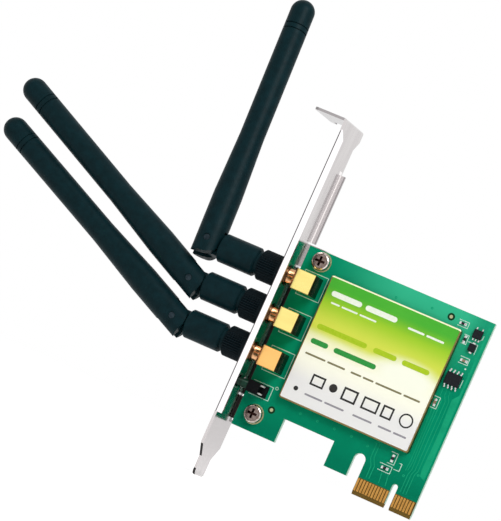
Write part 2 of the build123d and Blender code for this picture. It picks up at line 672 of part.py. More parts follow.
# Antennas: everything turns about the jack's axis, and the whip folds about the hinge pin
for number, z in enumerate(jack_zs, start=1):
    tilt = radians(tilt_angles[number - 1])
    swivel = radians(swivel_angles[number - 1])
    profile = Plane(origin=(bracket_out, jack_y, z), x_dir=(-1, 0, 0), z_dir=(0, -1, 0))
    jack_axis = Axis((bracket_out, jack_y, z), (-1, 0, 0))
    pivot = Vector(bracket_out - pivot_reach, jack_y, z)
    pin_way = Vector(0, cos(swivel), -sin(swivel))
    whip_way = Vector(-cos(tilt), sin(tilt) * sin(swivel), sin(tilt) * cos(swivel))
    hinge_plane = Plane(origin=pivot, x_dir=(-1, 0, 0), z_dir=pin_way)
    whip_plane = Plane(origin=pivot, x_dir=whip_way, z_dir=pin_way)

    with BuildPart() as coupling_nut:
        with BuildSketch(profile):
            with BuildLine():
                Polyline(
                    (nut_gap, nut_bore / 2),
                    (nut_gap, nut_diameter / 2),
                    (nut_end, nut_diameter / 2),
                    (nut_end, stem_diameter / 2 + stem_passage),
                    (nut_shoulder, stem_diameter / 2 + stem_passage),
                    (nut_shoulder, nut_bore / 2),
                    close=True,
                )
            make_face()
        revolve(axis=jack_axis)
        rims = coupling_nut.edges().filter_by(GeomType.CIRCLE)
        chamfer(rims.filter_by(lambda rim: rim.radius > nut_bore / 2 + fit_gap), nut_chamfer)
        # straight knurl for the fingers, open towards the antenna
        with BuildSketch(Plane(origin=pivot, x_dir=pin_way, z_dir=(1, 0, 0))):
            with PolarLocations(nut_diameter / 2, knurl_count):
                RegularPolygon(knurl_depth, 4)
        extrude(amount=pivot_reach - nut_gap - knurl_plain, mode=Mode.SUBTRACT)
    coupling_nut.part.label = f"coupling_nut_{number}"
    export_step(coupling_nut.part, f"parts/coupling_nut_{number}.step")

    # plug that the nut clamps on the jack, with a bead that keeps the base on its stem
    with BuildPart() as coupling_plug:
        with BuildSketch(profile):
            with BuildLine():
                Polyline(
                    (jack_reach - socket_length, jack_pin / 2 + fit_gap),
                    (jack_reach - socket_length, socket_diameter / 2),
                    (jack_reach, socket_diameter / 2),
                    (jack_reach, plug_flange / 2),
                    (plug_back, plug_flange / 2),
                    (plug_back, stem_diameter / 2),
                    (plug_back + bead_start, stem_diameter / 2),
                    (plug_back + bead_start, bead_diameter / 2),
                    (plug_back + bead_start + bead_length, bead_diameter / 2),
                    (plug_back + bead_start + bead_length, stem_diameter / 2),
                    (plug_back + stem_length, stem_diameter / 2),
                    (plug_back + stem_length, 0),
                    (jack_reach, 0),
                    (jack_reach, jack_pin / 2 + fit_gap),
                    close=True,
                )
            make_face()
        revolve(axis=jack_axis)
    coupling_plug.part.label = f"coupling_plug_{number}"
    export_step(coupling_plug.part, f"parts/coupling_plug_{number}.step")

    with BuildPart() as swivel_base:
        with BuildSketch(profile):
            with BuildLine():
                Polyline(
                    (base_start, base_bore / 2),
                    (base_start, collar_diameter / 2),
                    (base_start + collar_length, collar_diameter / 2),
                    (base_start + collar_length, base_diameter / 2),
                    (base_end, base_diameter / 2),
                    (base_end, 0),
                    (stem_end, 0),
                    (stem_end, base_bore / 2),
                    (bead_end, base_bore / 2),
                    (bead_end, bead_pocket / 2),
                    (bead_begin, bead_pocket / 2),
                    (bead_begin, base_bore / 2),
                    close=True,
                )
            make_face()
        revolve(axis=jack_axis)
        rims = swivel_base.edges().filter_by(GeomType.CIRCLE)
        chamfer(rims.filter_by(lambda rim: rim.radius > collar_diameter / 2 + fit_gap), base_chamfer)
        # tongue that carries the hinge pin
        with BuildSketch(hinge_plane):
            Circle(tongue_radius)
            Rectangle(pivot_reach - base_end + base_chamfer, 2 * tongue_radius, align=(Align.MAX, Align.CENTER))
        extrude(amount=tongue_thickness / 2, both=True)
        with BuildSketch(hinge_plane):
            Circle(pin_diameter / 2 + fit_gap)
        extrude(amount=tongue_thickness, both=True, mode=Mode.SUBTRACT)
    swivel_base.part.label = f"swivel_base_{number}"
    export_step(swivel_base.part, f"parts/swivel_base_{number}.step")

    with BuildPart() as hinge_pin:
        with BuildSketch(hinge_plane):
            Circle(pin_diameter / 2)
        extrude(amount=pin_length / 2, both=True)
    hinge_pin.part.label = f"hinge_pin_{number}"
    export_step(hinge_pin.part, f"parts/hinge_pin_{number}.step")

    # tapered whip with a domed tip, forked over the tongue and relieved where its heel swings
    with BuildPart() as whip:
        with BuildSketch(whip_plane):
            with BuildLine():
                Polyline(
                    (whip_length, 0),
                    (-whip_heel, 0),
                    (-whip_heel, whip_diameter / 2),
                    (whip_straight, whip_diameter / 2),
                    (whip_straight + whip_taper, whip_tip_diameter / 2),
                    (whip_length - whip_tip_diameter / 2, whip_tip_diameter / 2),
                )
                RadiusArc(
                    (whip_length - whip_tip_diameter / 2, whip_tip_diameter / 2),
                    (whip_length, 0),
                    whip_tip_diameter / 2,
                )
            make_face()
            with Locations((ring_position, whip_tip_diameter / 2)):
                with GridLocations(ring_spacing, 0, 2, 1):
                    Rectangle(ring_width, 2 * ring_depth, mode=Mode.SUBTRACT)
        revolve(axis=Axis(pivot, whip_way))
        with BuildSketch(whip_plane):
            Rectangle(whip_heel, whip_diameter, align=(Align.MAX, Align.MIN))
            Circle(whip_heel, mode=Mode.SUBTRACT)
        extrude(amount=whip_diameter, both=True, mode=Mode.SUBTRACT)
        with BuildSketch(whip_plane):
            with Locations((tongue_radius + slot_clearance, 0)):
                Rectangle(fork_depth, 2 * whip_diameter, align=(Align.MAX, Align.CENTER))
        extrude(amount=tongue_thickness / 2 + slot_clearance, both=True, mode=Mode.SUBTRACT)
        with BuildSketch(whip_plane):
            Circle(pin_diameter / 2 + pin_clearance)
        extrude(amount=whip_diameter, both=True, mode=Mode.SUBTRACT)
        for side in (-1, 1):
            with BuildSketch(whip_plane.offset(side * pin_length / 2)):
                Circle(pin_recess_diameter / 2)
            extrude(amount=side * whip_diameter, mode=Mode.SUBTRACT)
    whip.part.label = f"whip_{number}"
    export_step(whip.part, f"parts/whip_{number}.step")
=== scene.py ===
"""Dresses a desktop wireless network card: board, bracket, radio can, jacks and three folding antennas."""

import logging
from dataclasses import dataclass, field
from enum import Enum
from math import pi, radians

import bmesh
import bpy
from mathutils import Matrix, Vector


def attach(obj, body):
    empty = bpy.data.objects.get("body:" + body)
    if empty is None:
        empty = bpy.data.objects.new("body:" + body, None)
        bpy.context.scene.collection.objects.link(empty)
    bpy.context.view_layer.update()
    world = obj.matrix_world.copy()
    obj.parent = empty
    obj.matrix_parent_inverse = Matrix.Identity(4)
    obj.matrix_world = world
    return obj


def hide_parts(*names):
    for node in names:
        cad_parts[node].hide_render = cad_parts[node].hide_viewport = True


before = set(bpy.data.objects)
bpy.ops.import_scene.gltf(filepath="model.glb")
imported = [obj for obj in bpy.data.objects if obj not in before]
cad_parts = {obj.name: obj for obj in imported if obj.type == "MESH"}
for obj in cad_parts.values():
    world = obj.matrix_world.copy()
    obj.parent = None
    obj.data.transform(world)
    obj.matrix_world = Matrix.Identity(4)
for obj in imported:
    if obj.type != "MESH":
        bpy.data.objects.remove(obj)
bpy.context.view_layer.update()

logging.basicConfig(level=logging.INFO, format="%(message)s")
LOG = logging.getLogger("network_card")

Point = tuple[float, float]
Place = tuple[float, float, float]
Colour = tuple[float, float, float, float]
Tree = bpy.types.NodeTree
Socket = bpy.types.NodeSocket
# tone, share of it, and lowest and highest corner in mm of the place that has it
Zone = tuple[str, float, Place, Place]

MM = 0.001
WHITE = (1.0, 1.0, 1.0, 1.0)
# past every side of the board, in mm
FAR = 99.0
# half the board's thickness, in mm
BOARD_HALF = 0.785
# where the two bracket screws stand, in mm
SCREW_SPOTS = ((-50.8, 62.3), (-50.8, 10.2))
# edges that turn by more than this stay crisp
CRISP_ANGLE = radians(38)
# the longest mitre of a line is half its width divided by this
MITRE_LEAST = 0.3
# radius of a bar's round ends by its height, a hair under half
ROUND_END = 0.49
# points of a turned shape that lie nearer than this are one, in mm
SAME_POINT = 1e-4


def linear(code: str) -> Colour:
    """Turns an sRGB hex colour into linear light.

    Args:
        code: The colour as #rrggbb.

    Returns:
        Red, green, blue and an opaque alpha.
    """
    shares = [int(code[i:i + 2], 16) / 255 for i in (1, 3, 5)]
    red, green, blue = [s / 12.92 if s <= 0.04045 else ((s + 0.055) / 1.055) ** 2.4 for s in shares]
    return (red, green, blue, 1.0)


def add(tree: Tree, kind: str, inputs: dict | None = None, **settings: object) -> bpy.types.Node:
    """Adds one node with its settings, its values and its links.

    Args:
        tree: The node tree that takes the node.
        kind: The node's Blender type.
        inputs: Values or sockets by the name or number of the input that takes them.
        settings: The node's own properties.

    Returns:
        The new node.
    """
    made = tree.nodes.new(kind)
    for key, value in settings.items():
        setattr(made, key, value)
    for key, value in (inputs or {}).items():
        if isinstance(value, Socket):
            tree.links.new(value, made.inputs[key])
        else:
            made.inputs[key].default_value = value
    return made


def inside(tree: Tree, place: Socket, low: Place, high: Place) -> Socket:
    """Tells whether a point of the surface lies in a box.

    Args:
        tree: The material's nodes.
        place: The Object coordinates.
        low: The box's lowest corner, in mm.
        high: Its highest corner, in mm.

    Returns:
        1 inside the box, else 0.
    """
    middle = tuple((a + b) / 2 * MM for a, b in zip(low, high))
    scale = tuple(2 / ((b - a) * MM) for a, b in zip(low, high))
    moved = add(tree, "ShaderNodeVectorMath", {0: place, 1: middle}, operation="SUBTRACT")
    sized = add(tree, "ShaderNodeVectorMath", {0: moved.outputs[0], 1: scale}, operation="MULTIPLY")
    sides = add(tree, "ShaderNodeVectorMath", {0: sized.outputs[0]}, operation="ABSOLUTE")
    parts = add(tree, "ShaderNodeSeparateXYZ", {0: sides.outputs[0]})
    wide = add(tree, "ShaderNodeMath", {0: parts.outputs[0], 1: parts.outputs[1]}, operation="MAXIMUM")
    most = add(tree, "ShaderNodeMath", {0: wide.outputs[0], 1: parts.outputs[2]}, operation="MAXIMUM")
    return add(tree, "ShaderNodeMath", {0: most.outputs[0], 1: 1.0}, operation="LESS_THAN").outputs[0]


def lay_over(tree: Tree, under: Socket, layers: list[tuple[Socket, str]]) -> Socket:
    """Lays tones over a colour, one on the other.

    Args:
        tree: The material's nodes.
        under: The colour below.
        layers: How much of each tone shows, and the tone as #rrggbb.

    Returns:
        The mixed colour.
    """
    for share, tone in layers:
        under = add(tree, "ShaderNodeMix", {0: share, 6: under, 7: linear(tone)}, data_type="RGBA").outputs[2]
    return under


# ---------------------------------------------------------------- finishes


@dataclass(frozen=True)
class Finish:
    """A surface: two tones in patches, gloss that varies with them, and a fine relief.

    Attributes:
        name: The real material and how its surface was made.
        slot: The record's material slot; not used.
        low: The darker tone.
        high: The lighter tone.
        patch: Width of a patch of tone, in mm.
        metallic: 1 for bare metal.
        roughness: The smoothest and the dullest spot.
        specular: Strength of the clear reflection.
        relief: Height of the relief, in mm.
        relief_patch: Width of one bump of the relief, in mm.
        stretch: How much longer a patch is along x, y and z.
        spread: The noise values that give the two tones in full.
        gloss_shift: How far the patches of gloss lie from those of tone, in m.
        gloss_patch: Width of a patch of gloss, by that of a patch of tone.
    """

    name: str
    slot: str
    low: str
    high: str
    patch: float
    metallic: float = 0.0
    roughness: Point = (0.35, 0.45)
    specular: float = 0.3
    relief: float = 0.0
    relief_patch: float = 0.2
    stretch: Place = (1.0, 1.0, 1.0)
    spread: Point = (0.3, 0.7)
    gloss_shift: Place = (0.013, 0.029, 0.017)
    gloss_patch: float = 0.6

    def noise(self, tree: Tree, place: Socket, patch: float) -> Socket:
        """Draws patches of a width on the surface.

        Args:
            tree: The material's nodes.
            place: The Object coordinates.
            patch: Width of a patch, in mm.

        Returns:
            A value from 0 to 1.
        """
        scale = tuple(1 / s for s in self.stretch)
        drawn = add(tree, "ShaderNodeMapping", {"Vector": place, "Scale": scale})
        inputs = {"Vector": drawn.outputs[0], "Scale": 1 / (patch * MM), "Detail": 3.0}
        made = add(tree, "ShaderNodeTexNoise", inputs)
        low, high = self.spread
        return add(tree, "ShaderNodeMapRange", {0: made.outputs[0], 1: low, 2: high}).outputs[0]

    def colour(self, tree: Tree, place: Socket) -> Socket:
        """Mixes the two tones in patches.

        Args:
            tree: The material's nodes.
            place: The Object coordinates.

        Returns:
            The colour.
        """
        inputs = {0: self.noise(tree, place, self.patch), 6: linear(self.low), 7: linear(self.high)}
        return add(tree, "ShaderNodeMix", inputs, data_type="RGBA").outputs[2]

    def gloss(self, tree: Tree, place: Socket) -> Socket:
        """Spreads the roughness over the surface.

        Args:
            tree: The material's nodes.
            place: The Object coordinates.

        Returns:
            The roughness.
        """
        moved = add(tree, "ShaderNodeVectorMath", {0: place, 1: self.gloss_shift}, operation="ADD")
        value = self.noise(tree, moved.outputs[0], self.patch * self.gloss_patch)
        low, high = self.roughness
        return add(tree, "ShaderNodeMapRange", {0: value, 3: low, 4: high}).outputs[0]

    def bumps(self, tree: Tree, place: Socket) -> Socket | None:
        """Raises the fine relief.

        Args:
            tree: The material's nodes.
            place: The Object coordinates.

        Returns:
            The normal, or None where the surface is smooth.
        """
        if not self.relief:
            return None
        height = self.noise(tree, place, self.relief_patch)
        inputs = {"Height": height, "Distance": self.relief * MM, "Strength": 1.0}
        return add(tree, "ShaderNodeBump", inputs).outputs[0]

    def build(self) -> bpy.types.Material:
        """Makes the material.

        Returns:
            The new material.
        """
        material = bpy.data.materials.new(self.name)
        material.use_nodes = True
        tree = material.node_tree
        tree.nodes.clear()
        place = add(tree, "ShaderNodeTexCoord").outputs["Object"]
        inputs = {
            "Base Color": self.colour(tree, place),
            "Roughness": self.gloss(tree, place),
            "Metallic": self.metallic,
            "Specular IOR Level": self.specular,
        }
        normal = self.bumps(tree, place)
        if normal is not None:
            inputs["Normal"] = normal
        shader = add(tree, "ShaderNodeBsdfPrincipled", inputs)
        add(tree, "ShaderNodeOutputMaterial", {"Surface": shader.outputs[0]})
        return material


@dataclass(frozen=True)
class SolderMask(Finish):
    """Green mask on both faces of the board, with the sawn laminate bare at its edges and its tongue.

    Attributes:
        edge: The sawn edge of the laminate.
        bare: The laminate between the contacts.
        bevel: The ground bevel under the contacts.
        pour: A painted highlight on the mask, lighter towards the top.
        painted_highlight_up: Heights between which the painted highlight comes in, in mm.
        painted_highlight_across: The same, from left to right.
        painted_highlight_corner: Where the painted highlight fades towards the right end, in mm.
        painted_highlight_rest: How much of the painted highlight is left there.
        foot: Painted shade on the mask, darker low on the board.
        painted_shade_down: Heights between which the painted shade comes in, in mm.
        face: Half the board's thickness, in mm, less a hair.
        bevel_top: Height of the bevel, in mm.
        bevel_ends: Left and right end of the bevel, in mm.
        tongue_top: Height at which the mask stops above the contacts, in mm.
        tongue_left: Left end of the tongue, in mm.
    """

    edge: str = "#b7d6c4"
    bare: str = "#57421c"
    bevel: str = "#6f5729"
    pour: str = "#34b388"
    painted_highlight_up: Point = (40.0, 66.0)
    painted_highlight_across: Point = (-50.0, -20.0)
    painted_highlight_corner: Point = (-1.0, 6.0)
    painted_highlight_rest: float = 0.3
    foot: str = "#027556"
    painted_shade_down: Point = (17.0, 8.0)
    face: float = 0.76
    bevel_top: float = 1.33
    bevel_ends: Point = (-11.9, 8.5)
    tongue_top: float = 5.6
    tongue_left: float = -11.6

    def colour(self, tree: Tree, place: Socket) -> Socket:
        """Lays the mask over the laminate, with a painted highlight towards the top and painted shade towards the
        bottom.

        Args:
            tree: The material's nodes.
            place: The Object coordinates.

        Returns:
            The colour.
        """
        parts = add(tree, "ShaderNodeSeparateXYZ", {0: place})
        across, up = parts.outputs[0], parts.outputs[2]
        # painted highlight: the mask lighter towards the top right, a little less at the right end
        start, end = self.painted_highlight_corner
        pour = add(tree, "ShaderNodeMapRange", {0: across, 1: start * MM, 2: end * MM, 3: 1.0, 4: self.painted_highlight_rest})
        for way, (start, end) in ((up, self.painted_highlight_up), (across, self.painted_highlight_across)):
            rise = add(tree, "ShaderNodeMapRange", {0: way, 1: start * MM, 2: end * MM},
                       interpolation_type="SMOOTHSTEP")
            pour = add(tree, "ShaderNodeMath", {0: pour.outputs[0], 1: rise.outputs[0]}, operation="MULTIPLY")
        # painted shade: the mask darker towards the bottom of the board
        start, end = self.painted_shade_down
        foot = add(tree, "ShaderNodeMapRange", {0: up, 1: start * MM, 2: end * MM})
        left, right = self.bevel_ends
        return lay_over(tree, super().colour(tree, place), [
            (pour.outputs[0], self.pour),
            (foot.outputs[0], self.foot),
            (inside(tree, place, (self.tongue_left, -FAR, -FAR), (FAR, FAR, self.tongue_top)), self.bare),
            (inside(tree, place, (-FAR, -self.face, -FAR), (FAR, self.face, FAR)), self.edge),
            (inside(tree, place, (left, -self.face, -FAR), (right, self.face, self.bevel_top)), self.bevel),
        ])


@dataclass(frozen=True)
class LabelFilm(Finish):
    """White film with a printed field that runs from green through lime to cream, and a painted highlight.

    Attributes:
        stops: Height in mm where each tone begins and ends its change, and the tone.
        glow: Centre and half widths of the painted highlight, in mm.
        painted_highlight_tone: The painted highlight's tone.
        painted_highlight_core: How much of the painted highlight has its full tone, by its half width.
    """

    stops: tuple[tuple[float, float, str], ...] = (
        (57.0, 50.5, "#98c92c"),
        (53.0, 44.0, "#d3dc50"),
        (43.0, 39.5, "#f3f3c6"),
        (39.5, 35.5, "#fbfae8"),
        (33.0, 25.0, "#e9e8e6"),
    )
    glow: tuple[float, float, float, float] = (-10.0, 39.0, 16.0, 7.5)
    painted_highlight_tone: str = "#f9fae8"
    painted_highlight_core: float = 0.35

    def colour(self, tree: Tree, place: Socket) -> Socket:
        """Prints the field of colour down the label, and paints a highlight over it.

        Args:
            tree: The material's nodes.
            place: The Object coordinates.

        Returns:
            The colour.
        """
        height = add(tree, "ShaderNodeSeparateXYZ", {0: place}).outputs[2]
        # painted highlight, soft and round, over the film
        x, z, half_width, half_height = self.glow
        scale = (1 / (half_width * MM), 0.0, 1 / (half_height * MM))
        shift = (-x / half_width, 0.0, -z / half_height)
        near = add(tree, "ShaderNodeMapping", {"Vector": place, "Location": shift, "Scale": scale})
        reach = add(tree, "ShaderNodeVectorMath", {0: near.outputs[0]}, operation="LENGTH").outputs["Value"]
        changes = [(height, begin * MM, end * MM, tone) for begin, end, tone in self.stops]
        changes.append((reach, 1.0, self.painted_highlight_core, self.painted_highlight_tone))
        layers = []
        for way, begin, end, tone in changes:
            share = add(tree, "ShaderNodeMapRange", {0: way, 1: begin, 2: end}, interpolation_type="SMOOTHSTEP")
            layers.append((share.outputs[0], tone))
        return lay_over(tree, super().colour(tree, place), layers)


@dataclass(frozen=True)
class ToneZonesAndPaintedLight(Finish):
    """A finish with other tones in places: some are the piece's own, others are painted shade and painted highlights.

    Attributes:
        zones: The places and their tones.
    """

    zones: tuple[Zone, ...] = ()

    def colour(self, tree: Tree, place: Socket) -> Socket:
        """Lays each zone's tone over the finish.

        Args:
            tree: The material's nodes.
            place: The Object coordinates.

        Returns:
            The colour.
        """
        layers = []
        for tone, share, low, high in self.zones:
            held = inside(tree, place, low, high)
            part = add(tree, "ShaderNodeMath", {0: held, 1: share}, operation="MULTIPLY")
            layers.append((part.outputs[0], tone))
        return lay_over(tree, super().colour(tree, place), layers)


# green mask printed over woven glass and epoxy: with a faint unevenness from the copper below, a painted highlight
# towards the top right and painted shade towards the bottom
MASK = SolderMask("solder_mask_printed_on_glass_epoxy", "fr4_laminate", "#02825e", "#058d67", 9.0,
                  roughness=(0.3, 0.42), specular=0.02, relief=0.003, relief_patch=0.7)
# copper under the mask: the same green, a step lighter
TRACE = Finish("solder_mask_printed_on_copper", "fr4_laminate", "#14966d", "#1ca276", 4.0,
               roughness=(0.28, 0.4), specular=0.02, relief=0.002, relief_patch=0.5)
# laminate without mask round the sighting marks: dark and dull
LAMINATE = Finish("glass_epoxy_bare", "fr4_laminate", "#0a2f1c", "#123d26", 0.6, roughness=(0.5, 0.6), specular=0.05)
# white legend ink, screened: matt, with the green showing through a little
LEGEND = Finish("legend_ink_screen_printed", "fr4_laminate", "#a9d3c1", "#cbe6da", 0.5,
                roughness=(0.5, 0.65), specular=0.1)
# hard gold plated on nickel: warm, with fine wipe marks up and down from plugging
GOLD = Finish("hard_gold_plated_contact", "gold_flash", "#956a33", "#b18444", 0.4, metallic=1.0,
              roughness=(0.25, 0.4), specular=0.5, stretch=(1.0, 1.0, 6.0))
# tin levelled on copper lands: dull, with a warm cast from the copper
LAND = Finish("tin_levelled_land", "tinned_lead", "#8f8f6c", "#b4b28c", 0.4, metallic=1.0,
              roughness=(0.3, 0.45), specular=0.5)
# bright nickel on rolled steel sheet: faint rolling streaks along the blade, greyer on its cut edges, with painted
# shade and painted highlights in places
STEEL = ToneZonesAndPaintedLight("nickel_plated_steel_sheet", "plated_steel", "#c6c1c1", "#d3cfce", 1.6, metallic=1.0,
               roughness=(0.12, 0.2), specular=0.5, stretch=(1.0, 1.0, 14.0), zones=(
                   # front flange with a painted highlight, and painted shade along the line of its fold
                   ("#e0dddf", 0.8, (-57.9, -15.5, 6.3), (-55.9, -15.3, 102.0)),
                   ("#4d4a4a", 1.0, (-58.5, -15.6, 6.2), (-57.9, -15.0, 101.5)),
                   # sheared edges above the flange and round the tip, greyer as a dull cut and with painted shade, and
                   # painted shade on the tip's inner face
                   ("#b0acac", 1.0, (-58.34, -15.6, 101.9), (-57.52, -15.2, 105.7)),
                   ("#b5b0b0", 1.0, (-58.34, -15.6, -14.5), (-57.52, 3.1, 6.25)),
                   ("#b9b4b4", 0.85, (-57.6, -15.6, -14.5), (-57.4, 3.1, 6.25)),
                   # painted shade on the tab
                   ("#827e7f", 0.9, (-69.0, -15.6, 104.6), (-58.4, 6.3, 105.7)),
                   # painted shade on the cut edges at the tip's taper and corner
                   ("#2b2a2a", 1.0, (-58.34, -15.6, -8.2), (-57.52, -9.0, -4.5)),
                   ("#2b2a2a", 1.0, (-58.34, -15.6, -14.5), (-57.52, -8.0, -12.4)),
                   # shade behind the board, on the blade and on the low back flange
                   ("#4a4340", 0.85, (-57.6, -0.7, 5.0), (-57.4, 3.1, 58.0)),
                   ("#3a322e", 0.9, (-57.55, 1.9, 14.5), (-56.55, 2.3, 58.0)),
                   # high back flange: a painted highlight in its bend, then painted shade, a painted highlight, and
                   # painted shade at the edge
                   ("#fbf7f6", 1.0, (-57.6, -0.4, 66.0), (-57.3, 2.3, 91.0)),
                   ("#c9c4c5", 1.0, (-57.3, 1.9, 66.0), (-56.68, 2.3, 91.0)),
                   ("#e0dcdd", 1.0, (-56.68, 1.9, 66.0), (-56.3, 2.3, 91.0)),
                   ("#aca7a8", 1.0, (-56.3, 1.9, 66.0), (-55.9, 3.0, 91.0)),
                   # painted shade on the front of the lower ear, against the board
                   ("#2e2825", 0.95, (-57.55, 0.7, 5.0), (-46.0, 1.0, 18.0)),
               ))
# cold-headed screw steel, plated: brown and mottled on top, with painted shade in the recess
SCREW = ToneZonesAndPaintedLight("nickel_plated_screw_steel", "screw_steel", "#8d7d74", "#ddd7d1", 1.0, metallic=1.0,
               roughness=(0.12, 0.22), specular=0.5, zones=(
                   ("#4f3a33", 0.8, (-54.0, -3.1, 59.0), (-47.0, -2.86, 65.5)),
                   ("#4f3a33", 0.8, (-54.0, -3.1, 7.0), (-47.0, -2.86, 13.5)),
                   # painted shade in the drive recess
                   ("#20120f", 1.0, (-52.5, -2.86, 60.6), (-49.1, -1.6, 64.0)),
                   ("#20120f", 1.0, (-52.5, -2.86, 8.5), (-49.1, -1.6, 11.9)),
               ))
# drawn tin plate, lacquered: brownish satin, with faint draw marks, and a painted highlight along the upper rim
TIN = ToneZonesAndPaintedLight("tin_plated_drawn_steel_lacquered", "tin_plate", "#6b5a38", "#84724a", 1.5, metallic=1.0,
             roughness=(0.3, 0.42), specular=0.5, stretch=(4.0, 1.0, 1.0),
             zones=(("#f1efcb", 0.85, (-46.0, -3.2, 59.35), (0.5, -2.5, 60.2)),))
# polyester film, printed and clear coated: even, with a soft sheen and a painted highlight
LABEL = LabelFilm("polyester_film_printed", "label_film", "#46ab33", "#4fb136", 14.0,
                  roughness=(0.38, 0.5), specular=0.08, relief=0.001, relief_patch=1.2)
# brass, milled and turned, then gold plated: redder on the lowest block, coppery on the necks, with painted shade where
# they enter the bracket and on the blocks' right ends
JACK = ToneZonesAndPaintedLight("gold_plated_milled_brass", "gold_brass", "#d2bf72", "#dbca7c", 3.0, metallic=1.0,
              roughness=(0.16, 0.26), specular=0.5, stretch=(5.0, 1.0, 1.0), zones=(
                  ("#dba25f", 0.85, (-55.0, -9.7, 24.0), (-47.8, -9.3, 32.0)),
                  ("#f2bd8c", 1.0, (-70.0, -11.0, 20.0), (-54.2, 0.0, 60.0)),
                  # painted shade where the necks enter the bracket, and on the blocks' right ends
                  ("#77593f", 1.0, (-58.0, -11.0, 20.0), (-56.75, 0.0, 60.0)),
                  ("#5a3416", 1.0, (-47.95, -9.5, 20.0), (-47.5, 0.0, 60.0)),
              ))
# PTFE, turned: soft white and waxy
PTFE = Finish("ptfe_turned", "ptfe", "#e4e2dc", "#f1f0ec", 0.8, roughness=(0.45, 0.55), specular=0.25)
# glass-filled nylon, moulded: black with a fine spark-eroded grain
NYLON = Finish("glass_filled_nylon_moulded", "black_nylon", "#060709", "#0c0e11", 0.6,
               roughness=(0.42, 0.55), specular=0.08, relief=0.004, relief_patch=0.18)
# clear epoxy, cast, with a green tint, and bright tin on its leads
LAMP = ToneZonesAndPaintedLight("tinted_epoxy_cast", "lamp_epoxy", "#15392c", "#1e4637", 1.0, roughness=(0.12, 0.2), specular=0.15,
              zones=(("#dcdcd8", 1.0, (-52.15, -9.0, 10.0), (-50.0, 9.0, 25.0)),))
# black epoxy compound, transfer moulded: matt grain
CHIP = Finish("epoxy_compound_moulded", "chip_epoxy", "#101216", "#1a1c20", 0.5,
              roughness=(0.45, 0.6), specular=0.12, relief=0.004, relief_patch=0.12)
# matt tin over copper alloy: pale and satin
LEAD = Finish("tin_plated_copper_lead", "tinned_lead", "#a4a6a5", "#c9cac8", 0.3, metallic=1.0,
              roughness=(0.25, 0.4), specular=0.5)
# solder, reflowed: bright with soft dull spots
SOLDER = Finish("tin_solder_reflowed", "tinned_lead", "#a9aaa8", "#cfd0ce", 0.5, metallic=1.0,
                roughness=(0.16, 0.34), specular=0.5)
# barium titanate ceramic, fired: brown and matt
CERAMIC = Finish("ceramic_fired", "ceramic", "#7d6b55", "#957f67", 0.3, roughness=(0.4, 0.55), specular=0.2)
# resistor glaze over alumina: black, with some gloss
GLAZE = Finish("resistor_glaze_fired", "ceramic", "#101114", "#1b1c20", 0.3, roughness=(0.25, 0.4), specular=0.2)
# brass under black electroplate: satin black with a faint cold tint
COUPLING = Finish("black_plated_brass_knurled", "coupling_black", "#050e12", "#0a171c", 0.8,
                  roughness=(0.34, 0.46), specular=0.06)
# bare turned brass: yellow, with a turned satin
PLUG = Finish("brass_turned", "plug_brass", "#b8934c", "#d6b36a", 1.0, metallic=1.0, roughness=(0.22, 0.34),
              specular=0.5)
# drawn steel pin, blackened: dark with a cold sheen
PIN = Finish("steel_drawn_pin_blackened", "pin_steel", "#1b2429", "#2a343a", 0.8, metallic=1.0, roughness=(0.25, 0.35),
             specular=0.5)
# thermoplastic elastomer, moulded: near black with a teal tint and a fine even grain
WHIP = Finish("elastomer_moulded", "antenna_black", "#081d21", "#0b252a", 2.5, roughness=(0.36, 0.46),
              specular=0.05, relief=0.003, relief_patch=0.35)


def ink(colour: str, low: str, high: str) -> Finish:
    """Gives a printing ink on the label's film, flat and evenly satin, from its colour's name and two tones."""
    return Finish(f"{colour}_ink_printed", "label_film", low, high, 0.8, roughness=(0.4, 0.5), specular=0.08)


WHITE_INK = ink("white", "#e6efd9", "#f1f5e8")
LIME_INK = ink("lime", "#a3c322", "#afca2c")
GREEN_INK = ink("green", "#2c8c3c", "#379846")
BROWN_INK = ink("brown", "#77714f", "#857e5c")
BLACK_INK = ink("black", "#2b2a29", "#373635")
GREY_INK = ink("grey", "#8b888e", "#98959b")


class Paints:
    """The materials made so far, one for each finish."""

    made: dict[str, bpy.types.Material] = {}

    @classmethod
    def get(cls, finish: Finish) -> bpy.types.Material:
        """Gives a finish's material, made on first use.

        Args:
            finish: The finish.

        Returns:
            Its material.
        """
        if finish.name not in cls.made:
            cls.made[finish.name] = finish.build()
        return cls.made[finish.name]


# ---------------------------------------------------------------- shapes


class Face(Enum):
    """The board's two faces."""

    COMPONENT = "component"
    SOLDER = "solder"

    def seat(self, height: float) -> Matrix:
        """Gives the move from the plan to this face.

        Args:
            height: How far the plan lies from the board's middle, in mm.

        Returns:
            The move. On the solder face the plan's x runs the other way.
        """
        if self is Face.COMPONENT:
            return Matrix.Translation((0, -height, 0)) @ Matrix.Rotation(pi / 2, 4, "X")
        return Matrix.Translation((0, height, 0)) @ Matrix.Rotation(pi, 4, "Z") @ Matrix.Rotation(pi / 2, 4, "X")


